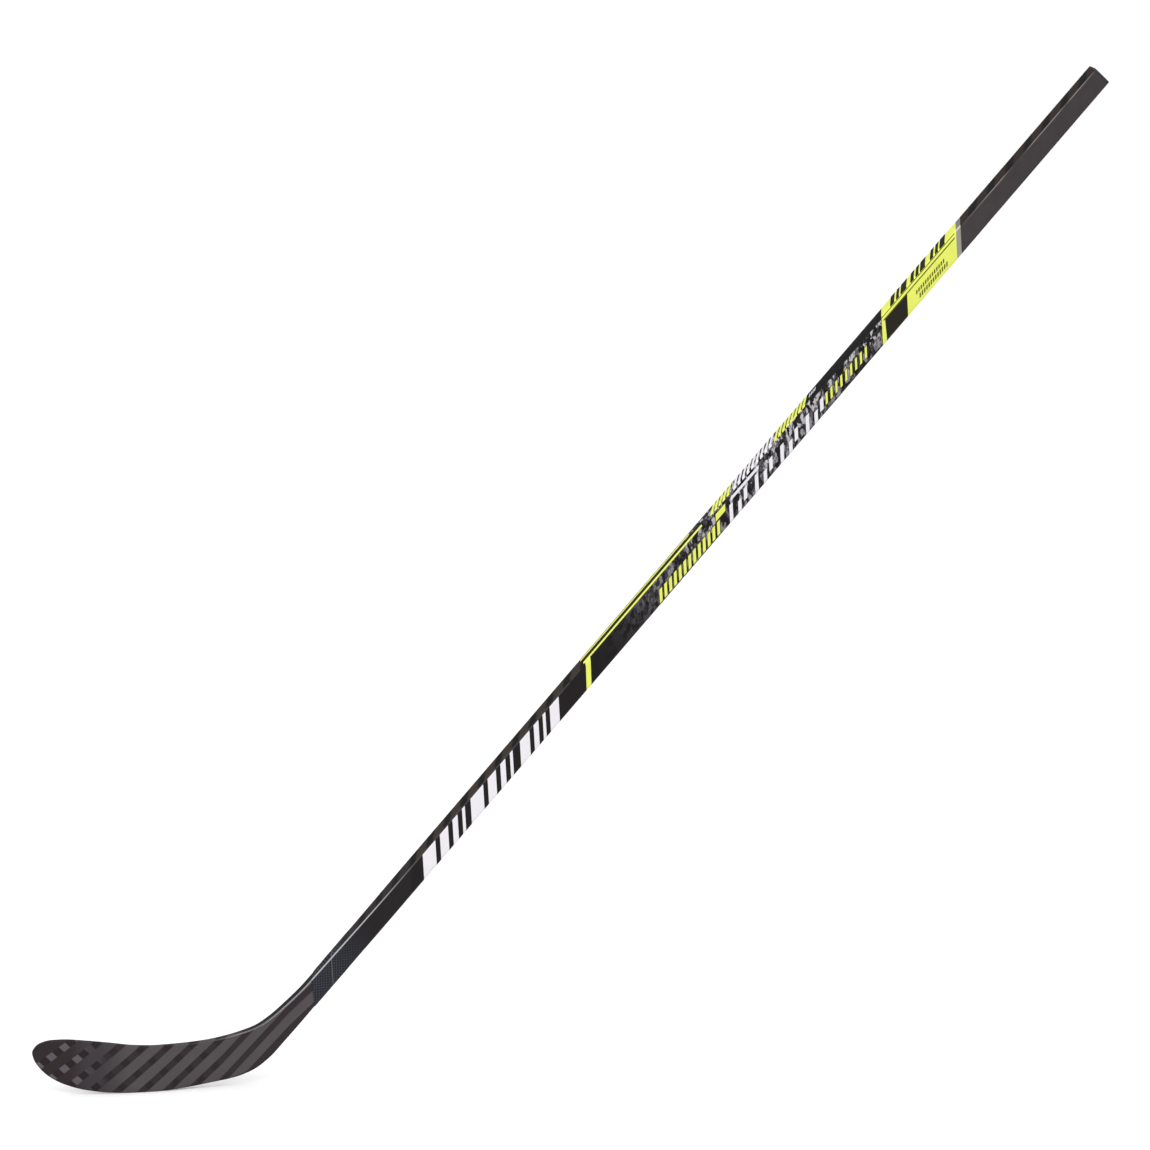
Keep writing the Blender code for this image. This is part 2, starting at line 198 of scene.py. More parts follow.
def hermite(start, end, slope_start, slope_end, span, u):
    """Point at share u of a smooth span between two values with given slopes."""
    return (
        (2 * u**3 - 3 * u**2 + 1) * start
        + (u**3 - 2 * u**2 + u) * span * slope_start
        + (3 * u**2 - 2 * u**3) * end
        + (u**3 - u**2) * span * slope_end
    )


SECTION_SLOPES = np.stack([monotone_slopes(SECTIONS[:, 0], SECTIONS[:, k]) for k in range(1, 5)], axis=1)


def section_size(s):
    """Width, depth, corner radius and drop of the stick at distance s from the heel."""
    i = int(np.clip(np.searchsorted(SECTIONS[:, 0], s) - 1, 0, len(SECTIONS) - 2))
    low, high = SECTIONS[i], SECTIONS[i + 1]
    span = high[0] - low[0]
    u = min(max((s - low[0]) / span, 0.0), 1.0)
    return hermite(low[1:], high[1:], SECTION_SLOPES[i], SECTION_SLOPES[i + 1], span, u)


def skin_lift(s):
    """Height of the shaft's skin above the tube. The grip section of the tube already stands that high."""
    return SKIN_LIFT if s < GRIP_STEP else 0.0


def on_shaft(s, across, y):
    return HEEL + ALONG * s + ACROSS * across + Vector((0.0, y, 0.0))


def outline_point(size, v, lift):
    """Place on the section at distance v round it: how far up from its middle, and how far out of it."""
    width, depth, radius = size[:3]
    flat = width / 2 - radius
    corner = RIGHT_ANGLE * radius
    beyond = abs(v) - flat
    if beyond <= 0:
        return v, depth / 2 + lift
    if beyond <= corner:
        angle = beyond / radius
        up = flat + (radius + lift) * math.sin(angle)
        out = depth / 2 - radius + (radius + lift) * math.cos(angle)
    else:
        up = width / 2 + lift
        out = depth / 2 - radius - (beyond - corner)
    return math.copysign(up, v), out


def shaft_point(s, v, lift, side=BACKHAND):
    """Point on the shaft at s and v, lift above its skin, counted from the backhand or the forehand face."""
    size = section_size(s)
    up, out = outline_point(size, v, skin_lift(s) + lift)
    return on_shaft(s, size[0] / 2 - size[3] + up, side * out)


def ring_shares():
    """Points round a section as (side of width, side of depth, corner angle)."""
    shares = []
    for quarter, (side_up, side_out) in enumerate([(1, 1), (-1, 1), (-1, -1), (1, -1)]):
        for step in range(CORNER_STEPS + 1):
            shares.append((side_up, side_out, RIGHT_ANGLE * (quarter + step / CORNER_STEPS)))
    return shares


def ring_place(size, share, lift):
    width, depth, radius = size[:3]
    side_up, side_out, angle = share
    up = side_up * (width / 2 - radius) + (radius + lift) * math.cos(angle)
    out = side_out * (depth / 2 - radius) + (radius + lift) * math.sin(angle)
    return up, out


def cut_offset(share):
    """How far up the shaft a slanted cut lies at this point of the section."""
    up, out = ring_place(NOMINAL, share, 0.0)
    return LEAN * (up + NOMINAL[0] / 2) + LEAN_THROUGH * (NOMINAL[1] / 2 + out)


def skin_ring(s, lean, lift):
    """A ring of the shaft's skin: square to the shaft at lean 0, along a slanted cut at lean 1."""
    ring = []
    for share in ring_shares():
        at = s + lean * cut_offset(share)
        size = section_size(at)
        up, out = ring_place(size, share, skin_lift(at) + lift)
        ring.append(on_shaft(at, size[0] / 2 - size[3] + up, out))
    return ring


# ---- meshes
def add_mesh(name, vertices, faces, material, sharp_angle=40.0):
    """One named piece, its faces pointing out, smooth apart from its real edges."""
    work = bmesh.new()
    corners = [work.verts.new(v) for v in vertices]
    for face in faces:
        work.faces.new([corners[i] for i in face])
    bmesh.ops.recalc_face_normals(work, faces=work.faces)
    mesh = bpy.data.meshes.new(name)
    work.to_mesh(mesh)
    work.free()
    mesh.shade_smooth()
    mesh.set_sharp_from_angle(angle=math.radians(sharp_angle))
    mesh.materials.append(material)
    piece = bpy.data.objects.new(name, mesh)
    bpy.context.scene.collection.objects.link(piece)
    return piece


def grid_faces(rows, columns, rows_closed=False, columns_closed=False):
    """Quads of a grid of points, which can close on itself in either direction."""
    faces = []
    for i in range(rows if rows_closed else rows - 1):
        for j in range(columns if columns_closed else columns - 1):
            a, b = i * columns, ((i + 1) % rows) * columns
            k = (j + 1) % columns
            faces.append((a + j, a + k, b + k, b + j))
    return faces


def solid_between(name, rings, material, closed_loop=False):
    """A solid lofted through rings: capped at both ends, or with the last ring joined to the first."""
    size = len(rings[0])
    faces = grid_faces(len(rings), size, rows_closed=closed_loop, columns_closed=True)
    if not closed_loop:
        faces += [tuple(range(size)), tuple((len(rings) - 1) * size + j for j in range(size))]
    return add_mesh(name, [v for ring in rings for v in ring], faces, material)


def place(piece, slot, *nodes):
    """Tie a finished piece to the frame: it rides on the stick and stands for these CAD nodes."""
    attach(piece, "root")
    if nodes:
        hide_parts(*nodes)


# ---- materials
def srgb(red, green, blue):
    """A colour given as 0-255 screen values, as the linear RGBA that shaders use."""
    linear = [((c / 255 + 0.055) / 1.055) ** 2.4 if c > 10 else c / 255 / 12.92 for c in (red, green, blue)]
    return (*linear, 1.0)


def shade(color, factor):
    """Such a colour made darker or lighter, up to full brightness, as linear RGBA."""
    return (*(min(factor * c, 1.0) for c in srgb(*color)[:3]), 1.0)


class Surface:
    """A node material under construction. Most methods add nodes and return an output."""

    def __init__(self, name, roughness, specular=0.5, metallic=0.0):
        self.material = bpy.data.materials.new(name)
        self.material.use_nodes = True
        self.tree = self.material.node_tree
        self.shader = self.tree.nodes["Principled BSDF"]
        self.shader.inputs["Roughness"].default_value = roughness
        self.shader.inputs["Specular IOR Level"].default_value = specular
        self.shader.inputs["Metallic"].default_value = metallic
        self.place = self.tree.nodes.new("ShaderNodeTexCoord").outputs["Object"]

    def put(self, socket, value):
        """Link a node's output, or set a number or a colour. Three numbers are 0-255 screen values."""
        if isinstance(value, bpy.types.NodeSocket):
            self.tree.links.new(value, socket)
        elif isinstance(value, tuple) and len(value) == 3:
            socket.default_value = srgb(*value)
        else:
            socket.default_value = value

    def math(self, operation, a, b=0.0):
        node = self.tree.nodes.new("ShaderNodeMath")
        node.operation = operation
        self.put(node.inputs[0], a)
        self.put(node.inputs[1], b)
        return node.outputs[0]

    def mix(self, share, low, high):
        node = self.tree.nodes.new("ShaderNodeMix")
        node.data_type = "RGBA"
        for index, value in zip((0, 6, 7), (share, low, high)):
            self.put(node.inputs[index], value)
        return node.outputs[2]

    def rise(self, value, low, high):
        """0 below low, 1 above high, with a smooth step between them. Low may be the larger one."""
        node = self.tree.nodes.new("ShaderNodeMapRange")
        node.interpolation_type = "SMOOTHSTEP"
        flipped = low > high
        span = (min(low, high), max(low, high), float(flipped), float(not flipped))
        for socket, number in zip(node.inputs[1:5], span):
            socket.default_value = number
        self.put(node.inputs[0], value)
        return node.outputs[0]

    def both(self, *shares):
        result = shares[0]
        for share in shares[1:]:
            result = self.math("MULTIPLY", result, share)
        return result

    def moved(self, turn=0.0, shift=(0.0, 0.0, 0.0), scale=(1.0, 1.0, 1.0), vector=None):
        """The coordinates turned about Y, shifted and scaled."""
        node = self.tree.nodes.new("ShaderNodeMapping")
        node.inputs["Location"].default_value = shift
        node.inputs["Rotation"].default_value = (0.0, turn, 0.0)
        node.inputs["Scale"].default_value = scale
        self.put(node.inputs["Vector"], self.place if vector is None else vector)
        return node.outputs[0]

    def split(self, vector):
        node = self.tree.nodes.new("ShaderNodeSeparateXYZ")
        self.put(node.inputs[0], vector)
        return node.outputs

    def noise(self, scale, detail=3.0, vector=None):
        """Cloudy values round 0.5. Scale is in patches per metre, one number or one for each direction."""
        node = self.tree.nodes.new("ShaderNodeTexNoise")
        node.inputs["Scale"].default_value = 1.0
        node.inputs["Detail"].default_value = detail
        self.put(node.inputs["Vector"], self.stretched(scale, vector))
        return node.outputs[0]

    def flakes(self, scale, vector=None):
        """A random value for each cell of a pattern with this many cells per metre."""
        node = self.tree.nodes.new("ShaderNodeTexVoronoi")
        node.inputs["Scale"].default_value = 1.0
        self.put(node.inputs["Vector"], self.stretched(scale, vector))
        return self.split(node.outputs["Color"])[0]

    def stretched(self, scale, vector):
        return self.moved(scale=scale if isinstance(scale, tuple) else (scale,) * 3, vector=vector)

    def wobble(self, vector, scale, amount):
        """The coordinates pushed about by a noise, which frays the edges of a pattern."""
        node = self.tree.nodes.new("ShaderNodeTexNoise")
        node.inputs["Scale"].default_value = scale
        self.put(node.inputs["Vector"], vector)
        push = self.tree.nodes.new("ShaderNodeVectorMath")
        push.operation = "MULTIPLY_ADD"
        self.put(push.inputs[0], node.outputs["Color"])
        push.inputs[1].default_value = (amount, amount, amount)
        self.put(push.inputs[2], vector)
        return push.outputs[0]

    def stripes(self, value, pitch, first, width, soft):
        """1 on stripes of this width, one of them centred at first, and 0 between them."""
        shifted = self.math("SUBTRACT", value, first - pitch / 2)
        along = self.math("PINGPONG", shifted, pitch / 2)
        return self.rise(along, (pitch - width - soft) / 2, (pitch - width + soft) / 2)

    def shaft_axes(self):
        """Coordinates along the shaft: s, y and the distance across from the heel line."""
        shift = (-HEEL_X * math.cos(LIE), 0.0, HEEL_X * math.sin(LIE))
        vector = self.moved(LIE, shift)
        s, y, across = self.split(vector)
        return vector, s, y, across

    def cut(self, s, y, across):
        """Distance up the shaft from a slanted cut through s = 0, on the backhand or the forehand face."""
        through = self.scaled(self.sum(y, NOMINAL[1] / 2), -LEAN_THROUGH)
        return self.sum(s, self.scaled(across, -LEAN), through)

    def weave(self, vector):
        """Height of a plain cross weave at 45 degrees to the shaft, from 0 to 1."""
        x, _, z = self.split(self.moved(HALF_RIGHT, vector=vector))
        first, second = (self.math("PINGPONG", place, WEAVE_PITCH / 2) for place in (x, z))
        return self.scaled(self.sum(first, second), 1.0 / WEAVE_PITCH)

    def sum(self, first, *others):
        for other in others:
            first = self.math("ADD", first, other)
        return first

    def scaled(self, value, factor, base=0.0):
        """The value times a factor, above a base."""
        product = self.math("MULTIPLY", value, factor)
        return self.math("ADD", product, base) if base else product

    def finish(self, color, roughness=None, height=None, depth=0.0001):
        """Connect the colour, the roughness, and a bump this deep."""
        self.put(self.shader.inputs["Base Color"], color)
        if roughness is not None:
            self.put(self.shader.inputs["Roughness"], roughness)
        if height is not None:
            bump = self.tree.nodes.new("ShaderNodeBump")
            bump.inputs["Strength"].default_value = 0.6
            bump.inputs["Distance"].default_value = depth
            self.put(bump.inputs["Height"], height)
            self.put(self.shader.inputs["Normal"], bump.outputs[0])
        return self.material


def narrow_mask(surface, s, y):
    """1 on the narrow faces of the shaft up to its ridges, 0 on its wide faces."""
    stations = np.linspace(0.0, TAPER_TOP - TAPER_START, 5)
    depths = [section_size(TAPER_TOP - below)[1] / 2 for below in stations]
    square, slope, full = np.polyfit(stations, depths, 2)
    below = surface.math("MAXIMUM", surface.math("SUBTRACT", TAPER_TOP, s), 0.0)
    half = surface.sum(surface.both(below, surface.scaled(below, square, slope)), full)
    past_half = surface.math("SUBTRACT", surface.math("ABSOLUTE", y), half)
    return surface.rise(past_half, *RIDGE_BLEND)


def lacquered_carbon(name, carbon, roughness=0.42, woven=False, seam=False):
    """Clear-coated carbon. Its narrow faces show the slanted steps of the wound tape."""
    front, dark_tape, light_tape, (first, pitch) = carbon
    surface = Surface(name, roughness, specular=0.10)
    vector, s, y, across = surface.shaft_axes()
    cloud = surface.noise(60.0, 4.0)
    grain = surface.noise(900.0, 2.0, vector)
    wide = surface.mix(cloud, shade(front, 0.80), shade(front, 1.20))
    if woven:
        fade = surface.rise(s, WEAVE_TOP, WEAVE_FULL)
        wide = surface.mix(fade, wide, surface.mix(cloud, WEAVE_DARK, WEAVE_LIGHT))
    slanted = surface.sum(s, surface.scaled(y, -TAPE_LEAN), surface.scaled(cloud, TAPE_FRAY))
    tapes = surface.stripes(slanted, pitch, first, TAPE_SHARE * pitch, TAPE_SOFTNESS)
    narrow = surface.mix(tapes, light_tape, dark_tape)
    color = surface.mix(narrow_mask(surface, s, y), wide, narrow)
    if woven:
        turned = surface.split(surface.moved(HALF_RIGHT, vector=vector))
        threads = [surface.stripes(turned[k], THREAD_PITCH, 0.0, THREAD_WIDTH, THREAD_WIDTH) for k in (0, 2)]
        shown = surface.scaled(surface.both(surface.math("MAXIMUM", *threads), fade), 0.75)
        color = surface.mix(shown, color, THREAD_COLOR)
    color = surface.mix(surface.scaled(grain, 0.25), color, (18, 16, 17))
    if seam:
        line = surface.stripes(surface.cut(s, y, across), SEAM_REPEAT, SEAM, SEAM_WIDTH, SEAM_SOFTNESS)
        color = surface.mix(line, color, SEAM_COLOR)
    uneven = surface.scaled(cloud, 0.12, roughness - 0.06)
    return surface.finish(color, uneven, surface.weave(vector), 0.00003)


def mottled_print():
    """Grey and silver chips on black, like chopped carbon, brighter up the shaft and at its ridge."""
    surface = Surface("mottled_print", 0.36, specular=0.08)
    vector, s, y, across = surface.shaft_axes()
    bent = surface.moved(HALF_RIGHT, vector=surface.wobble(vector, 420.0, 0.0020))
    chips = surface.flakes((125.0, 190.0, 270.0), bent)
    splinters = surface.flakes((330.0, 330.0, 620.0), bent)
    lump = surface.sum(surface.scaled(chips, 0.72), surface.scaled(splinters, 0.28))
    grain = surface.noise(700.0, 3.0, vector)
    shares = []
    for level, start, full, _ in MOTTLE_TONES:
        shares.append(surface.both(surface.rise(lump, level, level + 0.04), surface.rise(s, start, full)))
    near_ridge = surface.scaled(surface.rise(across, 0.008, 0.018), 0.6, 0.4)
    shares[-1] = surface.both(shares[-1], near_ridge)
    color = MOTTLE_GROUND
    for share, (_, _, _, tone) in zip(shares, MOTTLE_TONES):
        color = surface.mix(share, color, tone)
    color = surface.mix(surface.scaled(grain, 0.55), color, (24, 22, 24))
    above = surface.rise(s, MOTTLE_STOP - 0.001, MOTTLE_STOP + 0.001)
    color = surface.mix(surface.both(narrow_mask(surface, s, y), above), color, (20, 19, 20))
    return surface.finish(color, surface.scaled(grain, 0.15, 0.28), lump, 0.00003)


def ridge_highlight():
    """Glossy ridges with a painted highlight: bright at the joint, faint up the shaft, clearer at the grip.
    """
    surface = Surface("ridge_highlight", 0.25, specular=0.35)
    vector, s, _, _ = surface.shaft_axes()
    patchiness = surface.noise((30.0, 300.0, 300.0), 4.0, vector)
    # painted highlight: a light colour along the ridges, strongest at the joint and in patches at the grip
    color = surface.mix(surface.rise(s, *JOINT_HIGHLIGHT), (44, 41, 42), (176, 174, 181))
    grip = surface.both(surface.rise(s, *GRIP_HIGHLIGHT), surface.rise(patchiness, 0.30, 0.62))
    color = surface.mix(grip, color, (132, 125, 126))
    color = surface.mix(surface.scaled(patchiness, 0.35), color, (40, 38, 40))
    return surface.finish(color, surface.scaled(patchiness, 0.2, 0.15), patchiness, 0.00001)


def flat_print(name, color, spread=0.06, roughness=0.38, specular=0.15, metallic=0.0):
    """An even colour with a faint cloud and a fine grain, for ink, plastic and bare carbon."""
    surface = Surface(name, roughness, specular, metallic)
    cloud = surface.noise(70.0, 3.0)
    grain = surface.noise(1400.0, 2.0)
    tone = surface.mix(cloud, shade(color, 1 - spread), shade(color, 1 + spread))
    return surface.finish(tone, surface.scaled(cloud, 0.10, roughness - 0.05), grain, 0.00001)


def blade_layup(name, rim=False):
    """Broad diagonal tapes over the blade, crossed by a second set of tapes near the toe."""
    surface = Surface(name, 0.46, specular=0.14)
    local = surface.moved(shift=(-HEEL_X, 0.0, 0.0))
    x, y, z = surface.split(local)
    start, end = HEEL_REACH
    into_heel = surface.sum(surface.math("MAXIMUM", surface.math("MINIMUM", x, end), start), -start)
    rows = surface.split(surface.moved(BAND_ANGLE, vector=local))[2]
    rows = surface.sum(rows, surface.scaled(into_heel, -HEEL_TWIST))
    bands = surface.stripes(rows, BAND_PITCH, BAND_FIRST, BAND_WIDTH, 0.0010)
    columns = surface.split(surface.moved(CHECK_ANGLE, vector=local))[2]
    checks = surface.stripes(columns, CHECK_PITCH, CHECK_FIRST, CHECK_WIDTH, 0.0010)
    crossings = surface.stripes(columns, CROSS_PITCH, CROSS_FIRST, CROSS_WIDTH, 0.0016)
    across = surface.split(surface.moved(LIE, vector=local))[2]
    # painted shade: a dark band along the lower edge of the hosel and heel
    heel_edge_shade = surface.both(surface.rise(across, 0.0040, 0.0026), surface.rise(x, 0.004, 0.018))

    cloud = surface.noise(40.0, 4.0)
    grain = surface.noise(1100.0, 3.0)
    ground = surface.mix(surface.rise(x, -0.135, -0.180), (80, 75, 77), (56, 51, 55))
    ground = surface.mix(surface.rise(x, -0.185, -0.212), ground, TOE_GROUND)
    ground = surface.mix(surface.scaled(cloud, 0.40), ground, (52, 47, 49))
    crossed = surface.both(crossings, surface.rise(x, -0.01, -0.05))
    tape = surface.mix(crossed, (44, 36, 39), (34, 26, 29))
    # the tape colour also paints the shade band along the lower edge of the hosel and heel
    middle = surface.mix(surface.math("MAXIMUM", bands, heel_edge_shade), ground, tape)
    square = surface.mix(surface.rise(x, -0.188, -0.196), (60, 54, 58), (86, 78, 82))
    toe_corner = surface.both(surface.rise(x, -0.229, -0.232), surface.rise(z, 0.048, 0.050))
    square = surface.mix(toe_corner, square, TOE_GROUND)
    toe = surface.mix(bands, ground, surface.mix(checks, square, (32, 23, 26)))
    color = surface.mix(surface.rise(x, *TOE_ZONE), middle, toe)
    if rim:
        spine = surface.rise(surface.math("ABSOLUTE", y), 0.0050, 0.0044)
        color = surface.mix(surface.both(spine, surface.rise(x, -0.020, 0.005)), color, (26, 24, 28))
    color = surface.mix(surface.scaled(grain, 0.20), color, (26, 22, 24))
    roughness = surface.sum(surface.scaled(bands, -0.08), surface.scaled(grain, 0.1, 0.44))
    height = surface.sum(surface.scaled(bands, 0.5), surface.scaled(grain, 0.5))
    return surface.finish(color, roughness, height, 0.00004)


def heel_highlight():
    """The same gloss and painted highlight on the blade, which fades out along the heel."""
    surface = Surface("heel_highlight", 0.25, specular=0.35)
    x = surface.split(surface.moved(shift=(-HEEL_X, 0.0, 0.0)))[0]
    patchiness = surface.noise((120.0, 300.0, 120.0), 4.0)
    # painted highlight: a light colour along the top edge, strongest at the hosel
    color = surface.mix(surface.rise(x, -0.045, 0.030), (70, 64, 67), (172, 169, 176))
    color = surface.mix(surface.scaled(patchiness, 0.35), color, (60, 55, 58))
    return surface.finish(color, surface.scaled(patchiness, 0.2, 0.15), patchiness, 0.00001)


def foam_material():
    """Closed-cell structural foam."""
    surface = Surface("cell_foam", 0.92, specular=0.2)
    cells = surface.flakes(900.0)
    return surface.finish(surface.mix(cells, (214, 203, 176), (236, 228, 206)), None, cells, 0.0002)


# ---- shaft skins
def shaft_skin(name, start, end, leans, material):
    """A sleeve of the shaft between two cuts, from its outer surface down to the inside of the wall."""
    count = max(2, round((end - start) / RING_STEP) + 1)
    outer, inner = [], []
    for i in range(count):
        share = i / (count - 1)
        s = start + (end - start) * share
        lean = leans[0] + (leans[1] - leans[0]) * share
        outer.append(skin_ring(s, lean, 0.0))
        inner.append(skin_ring(s, lean, -SKIN_THICKNESS))
    return solid_between(name, outer + inner[::-1], material, closed_loop=True)


def build_shaft():
    """Six sections between the cuts, square to the shaft only at the blade and at the plug."""
    taper = lacquered_carbon("taper_carbon", TAPER_CARBON, woven=True)
    lower = lacquered_carbon("lower_carbon", LOWER_CARBON)
    mottled, neon = mottled_print(), flat_print("neon_print", NEON)
    silver = flat_print("silver_print", SILVER, 0.15, 0.32, specular=0.5, metallic=0.7)
    grip = lacquered_carbon("grip_carbon", GRIP_CARBON, roughness=0.46)
    start, end = JOINT + SKIN_GAP, SHAFT_END - PLUG_CAP - PLUG_GAP
    sections = (
        ("taper_section", start, TAPER_END, (0, 1), taper, "carbon_shaft", "shaft_tube"),
        ("lower_section", TAPER_END, LOWER_END, (1, 1), lower, "carbon_shaft", "shaft_tube", "lower_film"),
        ("middle_section", LOWER_END, MIDDLE_END, (1, 1), mottled, "mottled_film", "middle_film"),
        ("upper_section", MIDDLE_END, UPPER_END, (1, 1), neon, "neon_film", "upper_film"),
        ("stripe_section", UPPER_END, STRIPE_END, (1, 1), silver, "silver_film", "stripe_film"),
        ("grip_section", STRIPE_END, end, (1, 0), grip, "carbon_shaft", "shaft_tube"),
    )
    for name, low, high, leans, material, slot, *nodes in sections:
        place(shaft_skin(name, low, high, leans, material), slot, *nodes)


def build_plug():
    """The plug: a cap with a rounded rim and a shallow dish, and a ribbed stem inside the tube."""
    cap_start = SHAFT_END - PLUG_CAP
    stem, rib_top = -STEM_INSET, RIB_HEIGHT - STEM_INSET
    profile = [(cap_start - STEM_LENGTH, stem - 0.0012), (cap_start - STEM_LENGTH + 0.0015, stem)]
    for rib in range(RIBS):
        at = cap_start - RIBS_START + RIB_PITCH * rib
        profile += [(at, stem), (at + 0.0006, rib_top), (at + 0.0016, rib_top), (at + 0.0022, stem)]
    profile += [(cap_start, stem), (cap_start, -0.0002), (cap_start + 0.0002, 0.0)]
    rim = SHAFT_END - CAP_ROUNDING
    profile.append((rim, 0.0))
    for step in range(1, 5):
        angle = RIGHT_ANGLE * step / 4
        profile.append((rim + CAP_ROUNDING * math.sin(angle), CAP_ROUNDING * (math.cos(angle) - 1)))
    profile += [(SHAFT_END, -DISH_EDGE), (SHAFT_END - DISH_DEPTH, -DISH_EDGE - 0.0008)]
    rings = []
    for s, lift in profile:
        size = section_size(s)
        ring = []
        for share in ring_shares():
            up, out = ring_place((size[0], size[1], max(size[2], PLUG_CORNER)), share, lift)
            ring.append(on_shaft(s, size[0] / 2 - size[3] + up, out))
        rings.append(ring)
    plug = solid_between("butt_plug", rings, flat_print("plug_polymer", PLUG_GREY, 0.12, 0.55, specular=0.3))
    place(plug, "plug_polymer", "end_plug")


def build_joint_wrap():
    """Woven sleeve over the joint of blade and shaft. Its ends are cut on the slant and feathered out."""
    woven = lacquered_carbon("woven_carbon", TAPER_CARBON, woven=True, seam=True)
    feather = [(0.0, 0.0), (0.0008, 0.0), (0.004, 0.00014), (0.02, SLEEVE_THICKNESS)]
    stations = [(SLEEVE_START + d, lift) for d, lift in feather]
    stations += [(SLEEVE_START + 0.02 + 0.004 * i, SLEEVE_THICKNESS) for i in range(1, 6)]
    stations += [(SLEEVE_END - d, lift) for d, lift in reversed(feather)]
    outer = [skin_ring(s, 1.0, lift + SLEEVE_GAP) for s, lift in stations]
    inner = [skin_ring(s, 1.0, -SLEEVE_DEPTH) for s, lift in stations]
    sleeve = solid_between("joint_sleeve", outer + inner[::-1], woven, closed_loop=True)
    place(sleeve, "woven_wrap", "joint_wrap")


# ---- printed shapes
class Print:
    """Thin printed shapes on the shaft's surface, gathered into one piece."""

    def __init__(self, name, gap=PRINT_GAP):
        self.name = name
        self.gap = gap
        self.vertices = []
        self.faces = []

    def bar(self, s0, s1, v0, v1, side=BACKHAND, lean=LEAN, taper=0.0):
        """A slanted bar between s0 and s1 at v0, which stretches to v1. Taper narrows it towards v1."""
        if side == FOREHAND:
            s0, s1 = s0 + LEAN_THROUGH * NOMINAL[1], s1 + LEAN_THROUGH * NOMINAL[1]
        rows = max(2, math.ceil((s1 - s0) / PRINT_STEP) + 1)
        columns = max(2, math.ceil(abs(v1 - v0) / PRINT_CELL) + 1)
        top, bottom = [], []
        for i in range(rows):
            for j in range(columns):
                v = v0 + (v1 - v0) * j / (columns - 1)
                share = i / (rows - 1)
                s = s0 + (s1 - s0) * share + lean * (v - v0) - taper * (v - v0) * (share - 0.5)
                top.append(shaft_point(s, v, self.gap + PRINT_THICKNESS, side))
                bottom.append(shaft_point(s, v, self.gap, side))
        first = len(self.vertices)
        count = rows * columns
        self.vertices += top + bottom
        quads = grid_faces(rows, columns)
        self.faces += [tuple(first + i for i in quad) for quad in quads]
        self.faces += [tuple(first + count + i for i in reversed(quad)) for quad in quads]
        edge = list(range(columns)) + [i * columns + columns - 1 for i in range(1, rows)]
        edge += [(rows - 1) * columns + j for j in range(columns - 2, -1, -1)]
        edge += [i * columns for i in range(rows - 2, 0, -1)]
        for a, b in zip(edge, edge[1:] + edge[:1]):
            self.faces.append((first + a, first + count + a, first + count + b, first + b))

    def strip(self, lines):
        """A strip along four lines of points: its outer pair, then its inner pair in the other order."""
        first = len(self.vertices)
        rings = list(zip(*lines))
        self.vertices += [point for ring in rings for point in ring]
        faces = grid_faces(len(rings), 4, columns_closed=True)
        faces += [(3, 2, 1, 0), tuple(4 * (len(rings) - 1) + j for j in range(4))]
        self.faces += [tuple(first + i for i in face) for face in faces]

    def ridge(self, s0, s1, half_width, edge, side):
        """A strip along one rounded ridge, the upper or the lower one of a wide face."""
        lines = [[], [], [], []]
        for s in np.linspace(s0, s1, max(2, math.ceil((s1 - s0) / RING_STEP) + 1)):
            width, _, radius, _ = section_size(s)
            middle = width / 2 - radius + RIDGE_ANGLE[edge] * radius
            top = PRINT_GAP + PRINT_THICKNESS
            if edge == UPPER:
                top += SLEEVE_LIFT * float(np.interp(s, *SLEEVE_RIDGE))
            for line, v, lift in zip(lines, (-1, 1, 1, -1), (top, top, PRINT_GAP, PRINT_GAP)):
                line.append(shaft_point(s, edge * (middle + v * half_width), lift, side))
        self.strip(lines)

    def both(self, *args, **kwargs):
        """The same bar on the backhand and, mirrored, on the forehand."""
        self.bar(*args, side=BACKHAND, **kwargs)
        self.bar(*args, side=FOREHAND, **kwargs)

    def build(self, material, slot):
        place(add_mesh(self.name, self.vertices, self.faces, material), slot)


def at_width(w):
    """v of a point on a wide face, w above the lower edge."""
    return w - NOMINAL[0] / 2


def at_depth(y):
    """v of a point on the upper narrow face, at y from the shaft's middle plane (backhand negative)."""
    width, depth, radius = NOMINAL
    return width / 2 - radius + RIGHT_ANGLE * radius + (depth / 2 - radius + y)


def evenly(start, pitch, count):
    """Where evenly spaced marks start."""
    return [start + pitch * i for i in range(count)]


def lower_marks(white, neon, black):
    """Groups of slanted white bars, a neon band wrapped over the ridge, and the lines that start at it."""
    low, high = at_width(0.0006), at_width(0.0235)
    group = (0.0, 0.0225), (0.0305, 0.0450), (0.0530, 0.0620), (0.0700, 0.0750)
    last_group = (0.0, 0.0170), (0.0245, 0.0330), (0.0405, 0.0455), (0.0530, 0.0690)
    for first, bars in ((0.3118, group), (0.3970, group), (0.4850, last_group)):
        for start, end in bars:
            white.both(first + start, first + end, low, high)
    neon.both(0.6012, 0.6098, at_width(0.0), at_depth(-0.0076), lean=0.96)
    neon.bar(0.6232, 0.8350, at_depth(-0.0080), at_depth(-0.0055), lean=LINE_LEAN)
    neon.bar(0.6232, 0.8180, at_depth(0.0018), at_depth(0.0046), lean=LINE_LEAN)
    black.bar(0.6270, 0.8300, at_depth(-0.0048), at_depth(0.0010), lean=LINE_LEAN)


